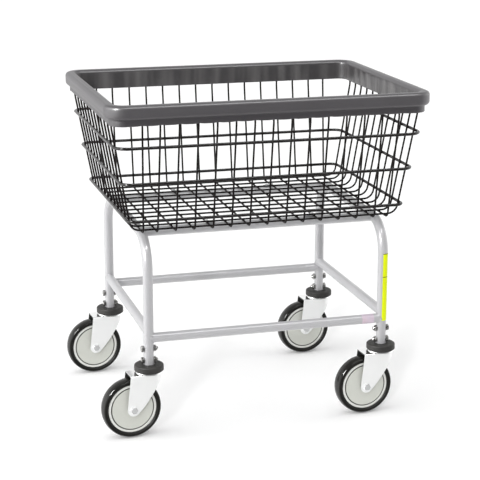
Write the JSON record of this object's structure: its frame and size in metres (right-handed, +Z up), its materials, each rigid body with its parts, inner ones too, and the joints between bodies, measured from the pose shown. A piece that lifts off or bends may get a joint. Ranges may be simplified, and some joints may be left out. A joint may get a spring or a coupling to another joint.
{
  "type": "laundry cart",
  "caption": "Wire basket laundry cart with a vinyl rim bumper on a tubular steel frame with swivel casters.",
  "frame": {"origin": "on the floor, midway between the four caster swivel axes", "axes": "+Z up, +X along the cart's length towards the labelled leg, +Y across it to the back"},
  "size_m": [0.7073, 0.522, 0.7063],
  "materials": {
    "frame_paint": "gloss silver-grey powder coat",
    "basket_coating": "satin black-brown coating",
    "bumper_vinyl": "soft satin grey vinyl",
    "dark_hardware": "black oxide",
    "yellow_label": "gloss",
    "small_label": "gloss",
    "clip_steel": "zinc plated",
    "guard_rubber": "matte",
    "fork_zinc": "bright zinc plated",
    "stem_zinc": "zinc plated",
    "axle_zinc": "zinc plated",
    "bushing_brass": "plain",
    "tyre_rubber": "satin",
    "core_plastic": "satin",
    "cover_plastic": "satin"
  },
  "bodies": {
    "frame": {"basket_clips": "clip_steel", "bl_guard_disc": "guard_rubber", "bl_stem": "stem_zinc", "bl_swivel_race": "stem_zinc", "br_guard_disc": "guard_rubber", "br_stem": "stem_zinc", "br_swivel_race": "stem_zinc", "bumper": "bumper_vinyl", "clip_screws": "clip_steel", "depth_wires": "basket_coating", "fl_guard_disc": "guard_rubber", "fl_stem": "stem_zinc", "fl_swivel_race": "stem_zinc", "fr_guard_disc": "guard_rubber", "fr_stem": "stem_zinc", "fr_swivel_race": "stem_zinc", "left_side_frame": "frame_paint", "leg_bolts": "dark_hardware", "leg_cap_nuts": "dark_hardware", "leg_label": "yellow_label", "length_wires": "basket_coating", "lower_back_crossbar": "frame_paint", "lower_front_crossbar": "frame_paint", "lower_left_rail": "frame_paint", "lower_right_rail": "frame_paint", "lower_ring": "basket_coating", "middle_ring": "basket_coating", "rail_label": "small_label", "right_side_frame": "frame_paint", "rim_wire": "basket_coating", "upper_back_crossbar": "frame_paint", "upper_front_crossbar": "frame_paint", "upper_ring": "basket_coating"},
    "fork_fl": {"fl_fork": "fork_zinc", "fl_axle": "axle_zinc"},
    "wheel_fl": {"fl_bushing": "bushing_brass", "fl_wheel_core": "core_plastic", "fl_wheel_covers": "cover_plastic", "fl_tyre": "tyre_rubber"},
    "fork_fr": {"fr_fork": "fork_zinc", "fr_axle": "axle_zinc"},
    "wheel_fr": {"fr_bushing": "bushing_brass", "fr_wheel_core": "core_plastic", "fr_wheel_covers": "cover_plastic", "fr_tyre": "tyre_rubber"},
    "fork_bl": {"bl_fork": "fork_zinc", "bl_axle": "axle_zinc"},
    "wheel_bl": {"bl_bushing": "bushing_brass", "bl_wheel_core": "core_plastic", "bl_wheel_covers": "cover_plastic", "bl_tyre": "tyre_rubber"},
    "fork_br": {"br_fork": "fork_zinc", "br_axle": "axle_zinc"},
    "wheel_br": {"br_bushing": "bushing_brass", "br_wheel_core": "core_plastic", "br_wheel_covers": "cover_plastic", "br_tyre": "tyre_rubber"}
  },
  "joints": [
    {"name": "swivel_fl", "type": "hinge", "parent": "frame", "child": "fork_fl", "pos_m": [-0.258, -0.2085, 0.1375], "axis": [0, 0, 1], "continuous": true},
    {"name": "spin_fl", "type": "hinge", "parent": "fork_fl", "child": "wheel_fl", "pos_m": [-0.29831, -0.21238, 0.0635], "axis": [-0.0958, 0.9954, 0], "continuous": true},
    {"name": "swivel_fr", "type": "hinge", "parent": "frame", "child": "fork_fr", "pos_m": [0.258, -0.2085, 0.1375], "axis": [0, 0, 1], "continuous": true},
    {"name": "spin_fr", "type": "hinge", "parent": "fork_fr", "child": "wheel_fr", "pos_m": [0.2176, -0.21133, 0.0635], "axis": [-0.0698, 0.9976, 0], "continuous": true},
    {"name": "swivel_bl", "type": "hinge", "parent": "frame", "child": "fork_bl", "pos_m": [-0.258, 0.2085, 0.1375], "axis": [0, 0, 1], "continuous": true},
    {"name": "spin_bl", "type": "hinge", "parent": "fork_bl", "child": "wheel_bl", "pos_m": [-0.2984, 0.20567, 0.0635], "axis": [-0.0698, 0.9976, 0], "continuous": true},
    {"name": "swivel_br", "type": "hinge", "parent": "frame", "child": "fork_br", "pos_m": [0.258, 0.2085, 0.1375], "axis": [0, 0, 1], "continuous": true},
    {"name": "spin_br", "type": "hinge", "parent": "fork_br", "child": "wheel_br", "pos_m": [0.2176, 0.20567, 0.0635], "axis": [-0.0698, 0.9976, 0], "continuous": true}
  ]
}
